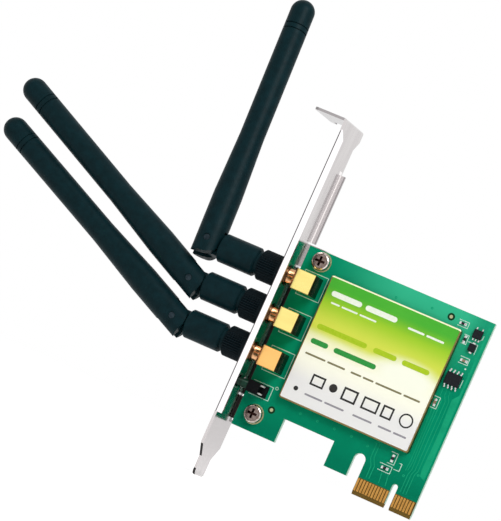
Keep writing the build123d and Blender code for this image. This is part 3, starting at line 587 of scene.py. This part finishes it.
class Shape:
    """A piece in the making, in mm on a plan: x along the board, y up it, z out of it."""

    def __init__(self) -> None:
        """Starts with nothing drawn."""
        self.mesh = bmesh.new()

    def lift(self, faces: list[bmesh.types.BMFace], rise: float) -> None:
        """Makes closed slabs of flat faces.

        Args:
            faces: The flat faces.
            rise: The slabs' thickness.
        """
        made = bmesh.ops.extrude_face_region(self.mesh, geom=faces, use_keep_orig=True)
        tops = [g for g in made["geom"] if isinstance(g, bmesh.types.BMVert)]
        bmesh.ops.translate(self.mesh, verts=tops, vec=(0, 0, rise))

    def stroke(self, line: tuple[Point, ...], width: float, rise: float, closed: bool = False) -> None:
        """Draws a line of ink or copper with mitred corners.

        Args:
            line: The points it runs through.
            width: Its width.
            rise: Its thickness.
            closed: Whether it runs back to its first point.
        """
        points = [Vector((x, y, 0)) for x, y in line]
        if closed:
            points.append(points[0])
        ways = [(b - a).normalized() for a, b in zip(points, points[1:])]
        sides = []
        for i in range(len(points)):
            before = ways[i - 1] if i or closed else ways[0]
            after = ways[i % len(ways)] if i < len(ways) or closed else ways[-1]
            lean = Vector((-(before + after).y, (before + after).x, 0)).normalized()
            share = max(MITRE_LEAST, lean.dot(Vector((-after.y, after.x, 0))))
            sides.append(lean * width / 2 / share)
        pair = [self.mesh.verts.new(points[0] + sides[0]), self.mesh.verts.new(points[0] - sides[0])]
        edge = self.mesh.edges.new(pair)
        faces = []
        for point, side in zip(points[1:], sides[1:]):
            left = pair[0].co.copy()
            made = bmesh.ops.extrude_edge_only(self.mesh, edges=[edge])["geom"]
            edge = next(g for g in made if isinstance(g, bmesh.types.BMEdge) and not set(g.verts) & set(pair))
            pair = sorted(edge.verts, key=lambda v: (v.co - left).length)
            pair[0].co, pair[1].co = point + side, point - side
            faces += [g for g in made if isinstance(g, bmesh.types.BMFace)]
        self.lift(faces, rise)

    def plate(self, outline: tuple[Point, ...], rise: float) -> None:
        """Lays a thin plate of any outline.

        Args:
            outline: Its corners.
            rise: Its thickness.
        """
        corners = [self.mesh.verts.new((x, y, 0)) for x, y in outline]
        self.lift([self.mesh.faces.new(corners)], rise)

    def bar(self, low: Point, high: Point, rise: float) -> None:
        """Lays a flat bar with round ends.

        Args:
            low: Its lower left corner.
            high: Its upper right corner.
            rise: Its thickness.
        """
        outline = [low, (high[0], low[1]), high, (low[0], high[1])]
        known = set(self.mesh.faces)
        corners = [self.mesh.verts.new((x, y, 0)) for x, y in outline]
        self.mesh.faces.new(corners)
        radius = ROUND_END * min(high[0] - low[0], high[1] - low[1])
        bmesh.ops.bevel(self.mesh, geom=corners, offset=radius, segments=4, profile=0.5, affect="VERTICES",
                        material=-1)
        self.lift([f for f in self.mesh.faces if f not in known], rise)

    def disc(self, spot: Point, radius: float, rise: float, hole: float = 0.0, segments: int = 28) -> None:
        """Lays a round pad, or a ring where it has a hole.

        Args:
            spot: Its centre.
            radius: Its outer radius.
            rise: Its thickness.
            hole: The hole's radius.
            segments: Sides of the circle.
        """
        place = Matrix.Translation((*spot, 0))
        verts = bmesh.ops.create_circle(self.mesh, cap_ends=True, segments=segments, radius=radius, matrix=place)
        faces = list({f for v in verts["verts"] for f in v.link_faces})
        if hole:
            ring = bmesh.ops.inset_individual(self.mesh, faces=faces, thickness=radius - hole, use_even_offset=True)
            bmesh.ops.delete(self.mesh, geom=faces, context="FACES_ONLY")
            faces = ring["faces"]
        self.lift(faces, rise)

    def block(self, low: Place, high: Place, round_off: float) -> None:
        """Makes a block with rounded edges.

        Args:
            low: Its lowest corner.
            high: Its highest corner.
            round_off: The radius of its edges.
        """
        size = [b - a for a, b in zip(low, high)]
        place = Matrix.Translation([(a + b) / 2 for a, b in zip(low, high)]) @ Matrix.Diagonal((*size, 1.0))
        verts = bmesh.ops.create_cube(self.mesh, size=1.0, matrix=place)["verts"]
        edges = list({e for v in verts for e in v.link_edges})
        bmesh.ops.bevel(self.mesh, geom=edges, offset=round_off, segments=2, profile=0.5, affect="EDGES", material=-1)

    def turn(self, outline: tuple[Point, ...], spot: Point, base: float = 0.0, steps: int = 20) -> None:
        """Turns an outline about an axis that stands on the plan.

        Args:
            outline: Radius and height of each point, from the foot to the top.
            spot: Where the axis stands.
            base: The height of its foot.
            steps: Sides of the turned shape.
        """
        verts = [self.mesh.verts.new((spot[0] + radius, spot[1], base + height)) for radius, height in outline]
        edges = [self.mesh.edges.new(pair) for pair in zip(verts, verts[1:])]
        known = set(self.mesh.verts) - set(verts)
        bmesh.ops.spin(self.mesh, geom=verts + edges, cent=(*spot, base), axis=(0, 0, 1), angle=2 * pi,
                       steps=steps, use_merge=True)
        fresh = [v for v in self.mesh.verts if v not in known]
        bmesh.ops.remove_doubles(self.mesh, verts=fresh, dist=SAME_POINT)

    def piece(self, name: str, finish: Finish, seat: Matrix, body: str = "card") -> bpy.types.Object:
        """Ends the shape as a piece of the object.

        Args:
            name: The piece's name.
            finish: Its finish.
            seat: The move from the plan to its place.
            body: The CAD body it rides on.

        Returns:
            The new object.
        """
        bmesh.ops.recalc_face_normals(self.mesh, faces=self.mesh.faces)
        bmesh.ops.transform(self.mesh, matrix=Matrix.Scale(MM, 4) @ seat, verts=self.mesh.verts)
        data = bpy.data.meshes.new(name)
        self.mesh.to_mesh(data)
        self.mesh.free()
        data.shade_smooth()
        data.set_sharp_from_angle(angle=CRISP_ANGLE)
        made = bpy.data.objects.new(name, data)
        bpy.context.scene.collection.objects.link(made)
        data.materials.append(Paints.get(finish))
        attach(made, body)
        LOG.info("%s: %d faces", name, len(data.polygons))
        return made


# ---------------------------------------------------------------- sub-assemblies


@dataclass
class Board:
    """What is printed, etched and soldered on the circuit board. All sizes are in mm.

    Attributes:
        ink: Thickness of the legend, drawn thicker than the real 0.02 mm so that it shows.
        line: Width of a legend line.
        copper: Thickness of copper under the mask.
        pour: Thickness of a sheet of copper under the mask.
        via: Radius of a plated hole's ring and of the hole.
        screw_land: Radius of the land round a screw and of its hole.
        fiducials: Round sighting marks.
        dot: Radius of a sighting mark.
        keeper: Radius, hole and thickness of the bare ring round it.
        jack_frames: Middle of each jack's legend frame.
        frame_ends: Left and right end of such a frame.
        frame_half: Half its height, and half its opening on the left.
        outlines: Legend lines round the other parts.
        rings: Centre, radius, hole and sides of the legend's round marks.
        jack_x: Where the jacks' middle legs stand along the board.
        jack_zs: Where they stand up it.
        jack_pins: Spacing of a jack's outer legs.
        jack_fillet: Radius and height of the solder round a jack's leg.
        lamp_leads: Where the lamp's leads stand.
        lamp_fillet: Radius and height of the solder round a lamp's lead.
        traces: Width and points of each conductor.
        pours: Outlines of the sheets of copper.
        vias: Plated holes between the faces.
    """

    ink: float = 0.03
    line: float = 0.22
    copper: float = 0.03
    pour: float = 0.021
    via: Point = (0.42, 0.16)
    screw_land: Point = (3.22, 1.7)
    fiducials: tuple[Point, ...] = ((-5.3, 62.5), (-46.1, 13.6))
    dot: float = 0.55
    keeper: Place = (1.2, 0.56, 0.008)
    jack_frames: tuple[float, ...] = (54.2, 41.1, 28.2)
    frame_ends: Point = (-54.5, -46.4)
    frame_half: Point = (4.1, 3.6)
    outlines: tuple[tuple[Point, ...], ...] = (
        ((-55.4, 20.2), (-48.4, 20.2), (-48.4, 15.7), (-55.4, 15.7)),
        ((6.8, 60.9), (6.75, 59.7), (5.4, 58.4)),
        ((0.8, 59.2), (2.45, 59.2), (2.45, 56.3), (0.8, 56.3)),
        ((2.85, 57.5), (6.15, 57.5), (6.15, 54.4)),
        ((2.5, 52.6), (5.6, 52.6), (5.6, 50.5), (2.5, 50.5)),
        ((-2.5, 62.9), (0.9, 62.9), (0.9, 61.0), (-2.5, 61.0)),
        ((6.35, 45.9), (6.35, 43.2)),
        ((-5.2, 17.0), (-2.9, 17.0), (-2.9, 13.3), (-5.2, 13.3)),
        ((-7.2, 12.5), (-3.0, 12.5), (-3.0, 10.3), (-7.2, 10.3)),
        ((-2.5, 12.2), (-0.55, 12.2), (-0.55, 14.6), (-1.4, 14.6)),
        ((-0.4, 38.1), (2.1, 38.1), (2.1, 34.4), (-0.4, 34.4)),
    )
    rings: tuple[tuple[Point, float, float, int], ...] = (
        ((5.55, 49.3), 0.3, 0.0, 16), ((-47.3, 20.4), 0.55, 0.33, 20),
    )
    jack_x: float = -51.375
    jack_zs: tuple[float, ...] = (54.0, 41.0, 28.0)
    jack_pins: float = 5.08
    jack_fillet: tuple[Point, ...] = ((1.15, 0.0), (0.98, 0.1), (0.8, 0.3), (0.68, 0.62), (0.62, 0.9), (0.0, 0.95))
    lamp_leads: tuple[Point, ...] = ((-51.0, 19.15), (-51.0, 16.61))
    lamp_fillet: tuple[Point, ...] = ((0.85, 0.0), (0.66, 0.1), (0.5, 0.3), (0.4, 0.6), (0.36, 0.85), (0.0, 0.9))
    traces: tuple[tuple[float, tuple[Point, ...]], ...] = (
        (0.2, ((1.6, 41.2), (1.6, 39.0), (2.7, 37.4), (2.7, 25.3), (2.95, 14.3), (2.4, 12.5), (2.4, 6.4))),
        (0.2, ((2.9, 41.2), (2.9, 39.4), (3.9, 37.6), (3.9, 25.5), (3.98, 14.5), (3.4, 12.9), (3.4, 6.4))),
        (0.2, ((4.15, 41.2), (4.15, 39.6), (5.0, 37.9), (5.0, 14.6), (4.4, 13.2), (4.4, 6.4))),
        (0.2, ((0.95, 34.0), (1.2, 25.5), (1.45, 16.4), (1.19, 13.3))),
        (0.2, ((1.9, 34.0), (1.95, 25.5), (2.2, 16.2), (1.8, 13.6))),
        (0.25, ((-5.4, 9.9), (-5.0, 6.4))),
        (0.25, ((-3.2, 10.0), (-2.7, 6.4))),
        (0.25, ((-8.4, 6.4), (-8.4, 10.6), (-9.6, 13.0), (-9.6, 17.9))),
        (0.25, ((-9.4, 6.4), (-9.4, 10.2), (-10.6, 12.6), (-10.6, 17.9))),
    )
    pours: tuple[tuple[Point, ...], ...] = (
        ((5.6, 39.0), (6.1, 27.8), (6.05, 22.4), (5.85, 15.5), (6.2, 13.5), (7.5, 12.8), (7.9, 12.8), (7.9, 63.9),
         (7.2, 63.9), (7.2, 41.0)),
    )
    vias: tuple[Point, ...] = (
        (1.28, 11.6), (5.55, 13.5), (7.0, 36.0), (7.0, 30.5), (7.0, 25.0), (7.0, 19.5), (-10.6, 18.0), (-9.6, 18.0),
        (-13.0, 15.5), (-19.0, 16.2), (-25.0, 16.2), (-31.0, 16.2), (-37.0, 16.2), (-12.0, 62.6), (-24.0, 61.3),
        (-36.0, 61.3), (7.3, 53.4), (7.3, 48.3),
    )

    def build(self) -> None:
        """Makes the copper, the pads, the legend and the solder."""
        seat = Face.COMPONENT.seat(BOARD_HALF)
        self.etch(seat)
        self.lay_lands(seat)
        self.print_legend(seat)
        self.solder_pins()

    def etch(self, seat: Matrix) -> None:
        """Raises the conductors under the mask.

        Args:
            seat: The move to the board's face.
        """
        shape = Shape()
        for width, line in self.traces:
            shape.stroke(line, width, self.copper)
        for outline in self.pours:
            shape.plate(outline, self.pour)
        for spot in self.vias:
            shape.disc(spot, self.via[0], self.copper, hole=self.via[1], segments=16)
        shape.piece("conductors", TRACE, seat)

    def lay_lands(self, seat: Matrix) -> None:
        """Lays the bare lands: the rings round the screws and the sighting marks.

        Args:
            seat: The move to the board's face.
        """
        lands, dots, keepers = Shape(), Shape(), Shape()
        for spot in SCREW_SPOTS:
            lands.disc(spot, self.screw_land[0], self.copper, hole=self.screw_land[1], segments=48)
        radius, hole, rise = self.keeper
        for spot in self.fiducials:
            dots.disc(spot, self.dot, self.copper)
            keepers.disc(spot, radius, rise, hole=hole)
        lands.piece("bare_lands", LAND, seat)
        dots.piece("sighting_dots", LAND, seat)
        keepers.piece("sighting_rings", LAMINATE, seat)

    def print_legend(self, seat: Matrix) -> None:
        """Prints the outlines that show where parts stand.

        Args:
            seat: The move to the board's face.
        """
        shape = Shape()
        left, right = self.frame_ends
        half, gap = self.frame_half
        frames = tuple(((left, z - gap), (left, z - half), (right, z - half), (right, z + half), (left, z + half),
                        (left, z + gap)) for z in self.jack_frames)
        for outline in frames + self.outlines:
            shape.stroke(outline, self.line, self.ink)
        for spot, radius, hole, sides in self.rings:
            shape.disc(spot, radius, self.ink, hole=hole, segments=sides)
        shape.piece("legend", LEGEND, seat)

    def solder_pins(self) -> None:
        """Draws the solder up round each leg on the back of the board."""
        shape = Shape()
        half = self.jack_pins / 2
        for z in self.jack_zs:
            for dx, dz in ((-half, -half), (half, -half), (-half, half), (half, half), (0, 0)):
                shape.turn(self.jack_fillet, (-(self.jack_x + dx), z + dz))
        for x, z in self.lamp_leads:
            shape.turn(self.lamp_fillet, (-x, z))
        shape.piece("back_solder", SOLDER, Face.SOLDER.seat(BOARD_HALF))


class Lie(Enum):
    """Which way a chip part lies on the board."""

    ACROSS = "across"
    ALONG = "along"


@dataclass
class SmallParts:
    """Chip resistors and capacitors, and the leads of the two small packages. All sizes are in mm.

    Attributes:
        length: Length of a chip part.
        width: Its width.
        height: Its height.
        cap: Length of a metal end.
        cap_round: Radius of a metal end's edges.
        body: Width and height of a body, by the part's, and radius of its edges.
        tuck: How much of a metal end has no body in it, by its length.
        pad: How far a land reaches past the part.
        land: Width of a land by the part's, its height, and radius of its edges.
        places: Where each part's middle stands, how it lies, and its body's finish.
        regulator: Middle and half height of the regulator.
        regulator_lead: Spacing of its leads, half a lead's width, and its reach.
        diode: Middle and half height of the diode.
        diode_lead: Half a lead's width, and its reach.
        lead: How far a lead starts inside its package, its height, and radius of its edges.
    """

    length: float = 1.6
    width: float = 0.85
    height: float = 0.5
    cap: float = 0.32
    cap_round: float = 0.06
    body: Place = (0.96, 0.97, 0.04)
    tuck: float = 0.8
    pad: float = 0.45
    land: Place = (1.1, 0.1, 0.045)
    places: tuple[tuple[Point, Lie, Finish], ...] = (
        ((-0.9, 62.0), Lie.ACROSS, GLAZE),
        ((4.1, 51.5), Lie.ACROSS, CERAMIC),
        ((-5.1, 11.4), Lie.ACROSS, GLAZE),
        ((1.0, 36.2), Lie.ALONG, CERAMIC),
        ((-4.0, 15.1), Lie.ALONG, GLAZE),
        ((1.6, 57.7), Lie.ALONG, GLAZE),
    )
    regulator: tuple[Point, float] = ((4.85, 60.6), 1.4)
    regulator_lead: Place = (0.95, 0.2, 0.75)
    diode: tuple[Point, float] = ((4.85, 56.1), 1.25)
    diode_lead: Point = (0.45, 0.55)
    lead: Place = (0.1, 0.16, 0.05)

    def build(self) -> None:
        """Makes the bodies, their ends, the solder and the leads."""
        seat = Face.COMPONENT.seat(BOARD_HALF)
        bodies: dict[str, tuple[Finish, Shape]] = {}
        ends, lands = Shape(), Shape()
        tip, inner = self.length / 2, self.length / 2 - self.cap
        start = tip - self.cap * self.tuck
        wide, high, round_off = self.body
        land_wide, land_high, land_round = self.land
        for spot, lie, finish in self.places:
            body = bodies.setdefault(finish.name, (finish, Shape()))[1]
            self.lay(body, spot, lie, (-start, start), (self.width * wide, self.height * high), round_off)
            for side in (-1, 1):
                self.lay(ends, spot, lie, (side * inner, side * tip), (self.width, self.height), self.cap_round)
                self.lay(lands, spot, lie, (side * inner, side * (tip + self.pad)),
                         (self.width * land_wide, land_high), land_round)
        made = [shape.piece(f"chip_bodies_{finish.name}", finish, seat) for finish, shape in bodies.values()]
        made.append(ends.piece("chip_ends", LEAD, seat))
        for piece in made:
            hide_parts("chip_passives")
        self.lead_out(lands)
        lands.piece("part_solder", SOLDER, seat)

    def lay(self, shape: Shape, spot: Point, lie: Lie, reach: Point, section: Point, round_off: float) -> None:
        """Lays one block of a chip part.

        Args:
            shape: The shape that takes it.
            spot: The part's middle.
            lie: Which way the part lies.
            reach: The block's two ends, from the middle.
            section: Its width and height.
            round_off: The radius of its edges.
        """
        x, z = spot
        (start, end), half, height = sorted(reach), section[0] / 2, section[1]
        if lie is Lie.ALONG:
            shape.block((x - half, z + start, 0), (x + half, z + end, height), round_off)
        else:
            shape.block((x + start, z - half, 0), (x + end, z + half, height), round_off)

    def lead_out(self, shape: Shape) -> None:
        """Adds the leads and lands of the regulator, three below and two above, and of the diode.

        Args:
            shape: The shape that takes them.
        """
        pitch, *regulator_lead = self.regulator_lead
        leads = [(self.regulator, dx, -1, regulator_lead) for dx in (-pitch, 0.0, pitch)]
        leads += [(self.regulator, dx, 1, regulator_lead) for dx in (-pitch, pitch)]
        leads += [(self.diode, 0.0, side, self.diode_lead) for side in (-1, 1)]
        inset, height, round_off = self.lead
        for ((x, z), half), dx, side, (width, reach) in leads:
            low, high = sorted((z + side * (half - inset), z + side * (half + reach)))
            shape.block((x + dx - width, low, 0), (x + dx + width, high, height), round_off)


@dataclass
class Label:
    """Plain print on the label: bars in rows, and a few simple marks. All sizes are in mm.

    Attributes:
        height: How far the label's face lies from the board's middle.
        ink: Thickness of the ink, drawn thicker than it is so that it shows.
        share: Height of a bar, by the height of its row.
        rows: Finish, and foot, top and bars of each row, each bar from its left to its right end.
        frames: Middle, half size and line width of the square marks.
        rings: Centre, outer radius, hole and sides of the round marks.
    """

    height: float = 3.005
    ink: float = 0.012
    share: float = 0.6
    rows: tuple[tuple[Finish, tuple[tuple[float, float, tuple[Point, ...]], ...]], ...] = (
        (WHITE_INK, (
            (53.2, 56.1, ((-43.0, -32.4), (-31.0, -20.0))),
            (51.3, 52.2, ((-42.0, -38.9), (-38.2, -32.6), (-31.9, -26.0))),
            (53.4, 54.5, ((-15.9, -10.2), (-9.5, -3.4))),
        )),
        (LIME_INK, ((42.1, 44.9, ((-43.0, -25.6), (-23.2, -15.2), (-13.2, -3.8))),)),
        (GREEN_INK, ((37.2, 40.0, ((-43.0, -37.0), (-34.9, -20.2))),)),
        (BROWN_INK, ((33.8, 34.8, ((-43.0, -35.9), (-35.2, -29.0), (-27.0, -23.3), (-22.7, -19.0), (-18.3, -9.2),
                                   (-8.5, -2.8))),)),
        (GREY_INK, ((21.9, 22.9, ((-37.8, -31.5), (-30.8, -24.0), (-20.9, -14.2), (-12.0, -7.4), (-6.7, -2.2))),)),
    )
    frames: tuple[tuple[Point, Point, float], ...] = (
        ((-35.4, 27.5), (2.0, 1.5), 0.6), ((-24.2, 27.4), (2.2, 1.8), 0.65), ((-16.9, 27.3), (2.5, 1.7), 0.6),
        ((-11.0, 27.3), (1.6, 1.7), 0.6),
    )
    rings: tuple[tuple[Point, float, float, int], ...] = (
        ((-30.0, 27.5), 1.35, 0.0, 40), ((-41.1, 22.9), 0.75, 0.0, 40), ((-4.4, 27.3), 2.3, 1.8, 48),
    )

    def build(self) -> None:
        """Prints the rows and the marks."""
        seat = Face.COMPONENT.seat(self.height)
        for finish, rows in self.rows:
            shape = Shape()
            for foot, top, bars in rows:
                spare = (top - foot) * (1 - self.share) / 2
                for left, right in bars:
                    shape.bar((left, foot + spare), (right, top - spare), self.ink)
            shape.piece(f"label_{finish.name}", finish, seat)
        shape = Shape()
        for (x, z), (half_x, half_z), width in self.frames:
            corners = tuple((x + dx * half_x, z + dz * half_z) for dx, dz in ((-1, -1), (1, -1), (1, 1), (-1, 1)))
            shape.stroke(corners, width, self.ink, closed=True)
        for spot, radius, hole, sides in self.rings:
            shape.disc(spot, radius, self.ink, hole=hole, segments=sides)
        shape.piece(f"label_{BLACK_INK.name}", BLACK_INK, seat)


@dataclass
class ScrewThreads:
    """Threads on the tails of the two bracket screws, behind the bracket's ears. All sizes are in mm.

    Attributes:
        start: Where the thread starts, from the board's middle.
        end: Where it ends.
        pitch: From crest to crest.
        radius: The crests' radius.
        root: The radius between crests.
        flat: Where a crest's flat starts and ends, by the pitch.
    """

    start: float = 1.66
    end: float = 3.2
    pitch: float = 0.5
    radius: float = 1.52
    root: float = 1.3
    flat: Point = (0.42, 0.58)

    def build(self) -> None:
        """Turns the crests one by one round each tail."""
        shape = Shape()
        begin, stop = (self.pitch * share for share in self.flat)
        crest = ((self.root, 0.0), (self.radius, begin), (self.radius, stop), (self.root, self.pitch), (self.root, 0.0))
        for x, z in SCREW_SPOTS:
            height = self.start
            while height + self.pitch <= self.end:
                shape.turn(crest, (-x, z), height, steps=28)
                height += self.pitch
        shape.piece("screw_threads", SCREW, Face.SOLDER.seat(0.0))


@dataclass
class FlangeTail:
    """The short run of the bracket's back flange down to the lower ear.

    Attributes:
        low: Lowest corner on the board's plan, in mm.
        high: Highest corner.
        round_off: Radius of its edges.
    """

    low: Place = (-57.52, 14.7, -2.97)
    high: Place = (-55.98, 18.05, -2.14)
    round_off: float = 0.06

    def build(self) -> None:
        """Makes the strip of sheet."""
        shape = Shape()
        shape.block(self.low, self.high, self.round_off)
        shape.piece("back_flange_tail", STEEL, Face.COMPONENT.seat(0.0))


@dataclass
class CadFinishes:
    """The finish of every node as it was packed.

    Attributes:
        nodes: The finish of each node of the card.
        antenna: The finish of each node that every antenna has, without its number.
        numbers: The antennas' numbers.
    """

    nodes: dict[str, Finish] = field(default_factory=lambda: {
        "circuit_board": MASK, "contacts_front": GOLD, "contacts_back": GOLD, "bracket": STEEL,
        "bracket_screws": SCREW, "shield_can": TIN, "can_label": LABEL, "lamp_holder": NYLON, "lamp": LAMP,
        "memory_chip": CHIP, "memory_leads": LEAD, "regulator_chip": CHIP, "diode_chip": CHIP,
        "chip_passives": CERAMIC,
    })
    antenna: dict[str, Finish] = field(default_factory=lambda: {
        "jack_body": JACK, "jack_insulator": PTFE, "jack_contact": GOLD, "coupling_nut": COUPLING,
        "coupling_plug": PLUG, "swivel_base": WHIP, "hinge_pin": PIN, "whip": WHIP,
    })
    numbers: tuple[int, ...] = (1, 2, 3)

    def dress(self) -> None:
        """Puts each finish in the slots of its nodes."""
        finishes = dict(self.nodes)
        for number in self.numbers:
            finishes.update({f"{name}_{number}": finish for name, finish in self.antenna.items()})
        for name, finish in finishes.items():
            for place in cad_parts[name].material_slots:
                place.material = Paints.get(finish)
            LOG.info("%s: %s", name, finish.name)


# ---------------------------------------------------------------- studio


@dataclass
class Studio:
    """A white floor, soft light and the camera.

    Attributes:
        right: The camera's right.
        down: The camera's down.
        ahead: Where the camera looks.
        spot: Where it stands, in mm.
        lens: Focal length, in mm.
        sensor: Width of the sensor, in mm.
        clip: Nearest and farthest distance that the camera sees, in m.
        middle: The middle of the object, in mm.
        lamps: Side, rise, depth, distance in m, power in W and size in m of each lamp, by the camera's axes.
        sky: Brightness of the room.
        floor: Height of the floor, in mm.
        floor_radius: Its radius, in m.
        floor_glow: How much the floor is lifted towards white where it is seen.
        paper: The floor's colour.
    """

    right: Place = (0.87277, 0.26872, 0.40751)
    down: Place = (0.37459, 0.16656, -0.91211)
    ahead: Place = (-0.31297, 0.94871, 0.04470)
    spot: Place = (269.389, -1037.034, 5.149)
    lens: float = 249.0
    sensor: float = 36.0
    clip: Point = (0.05, 50.0)
    middle: Place = (-60.0, -6.0, 45.0)
    lamps: tuple[tuple[float, float, float, float, float, float], ...] = (
        (0.6, 0.6, 0.7, 0.9, 6.1, 0.5),
        (-0.55, 0.32, 0.78, 1.1, 0.89, 0.7),
        (0.2, 0.8, -0.7, 1.1, 0.3, 0.6),
    )
    sky: float = 0.38
    floor: float = -14.5
    floor_radius: float = 4.0
    floor_glow: float = 0.65
    paper: str = "#f4f4f4"

    def build(self) -> None:
        """Sets the camera, the lamps, the room and the floor."""
        scene = bpy.context.scene
        scene.view_settings.view_transform = "Standard"
        right, up, back = Vector(self.right), -Vector(self.down), -Vector(self.ahead)
        camera = bpy.data.objects.new("camera", bpy.data.cameras.new("camera"))
        camera.data.lens = self.lens
        camera.data.sensor_width = self.sensor
        camera.data.sensor_fit = "HORIZONTAL"
        camera.data.clip_start, camera.data.clip_end = self.clip
        turn = Matrix((right, up, back)).transposed().to_4x4()
        camera.matrix_world = Matrix.Translation(Vector(self.spot) * MM) @ turn
        scene.collection.objects.link(camera)
        scene.camera = camera
        for number, (side, rise, depth, distance, power, size) in enumerate(self.lamps, start=1):
            light = bpy.data.lights.new(f"softbox_{number}", "AREA")
            light.energy, light.size = power, size
            lamp = bpy.data.objects.new(f"softbox_{number}", light)
            way = (right * side + up * rise + back * depth).normalized()
            lamp.location = Vector(self.middle) * MM + way * distance
            lamp.rotation_euler = way.to_track_quat("Z", "Y").to_euler()
            scene.collection.objects.link(lamp)
        self.light_room(scene)
        self.lay_floor(scene)

    def light_room(self, scene: bpy.types.Scene) -> None:
        """Makes the room white to the eye and in metal, and softer as a light.

        Args:
            scene: The scene that takes the world.
        """
        world = bpy.data.worlds.new("room")
        world.use_nodes = True
        scene.world = world
        tree = world.node_tree
        tree.nodes.clear()
        soft = add(tree, "ShaderNodeBackground", {"Color": WHITE, "Strength": self.sky})
        white = add(tree, "ShaderNodeBackground", {"Color": WHITE, "Strength": 1.0})
        both = add(tree, "ShaderNodeMixShader", {0: self.seen(tree), 1: soft.outputs[0], 2: white.outputs[0]})
        add(tree, "ShaderNodeOutputWorld", {"Surface": both.outputs[0]})

    def seen(self, tree: Tree) -> Socket:
        """Tells whether a ray comes from the camera, from metal or through glass.

        Args:
            tree: The nodes that ask.

        Returns:
            1 for such a ray, else 0.
        """
        path = add(tree, "ShaderNodeLightPath")
        shine = add(tree, "ShaderNodeMath", {0: path.outputs["Is Camera Ray"], 1: path.outputs["Is Glossy Ray"]},
                    operation="MAXIMUM")
        every = {0: shine.outputs[0], 1: path.outputs["Is Transmission Ray"]}
        return add(tree, "ShaderNodeMath", every, operation="MAXIMUM").outputs[0]

    def lay_floor(self, scene: bpy.types.Scene) -> None:
        """Lays a white floor that keeps the object's shadow.

        Args:
            scene: The scene that takes the floor.
        """
        mesh = bmesh.new()
        bmesh.ops.create_circle(mesh, cap_ends=True, segments=96, radius=self.floor_radius,
                                matrix=Matrix.Translation((0, 0, self.floor * MM)))
        data = bpy.data.meshes.new("floor")
        mesh.to_mesh(data)
        mesh.free()
        floor = bpy.data.objects.new("floor", data)
        scene.collection.objects.link(floor)
        material = bpy.data.materials.new("white_paper_sweep")
        material.use_nodes = True
        tree = material.node_tree
        tree.nodes.clear()
        glow = add(tree, "ShaderNodeMath", {0: self.seen(tree), 1: self.floor_glow}, operation="MULTIPLY")
        paper = add(tree, "ShaderNodeBsdfPrincipled", {
            "Base Color": linear(self.paper), "Roughness": 0.9, "Specular IOR Level": 0.0,
            "Emission Color": WHITE, "Emission Strength": glow.outputs[0]})
        add(tree, "ShaderNodeOutputMaterial", {"Surface": paper.outputs[0]})
        data.materials.append(material)


def main() -> None:
    """Builds the studio, dresses the nodes and adds the pieces."""
    Studio().build()
    CadFinishes().dress()
    Board().build()
    SmallParts().build()
    Label().build()
    ScrewThreads().build()
    FlangeTail().build()


if __name__ == "__main__":
    main()
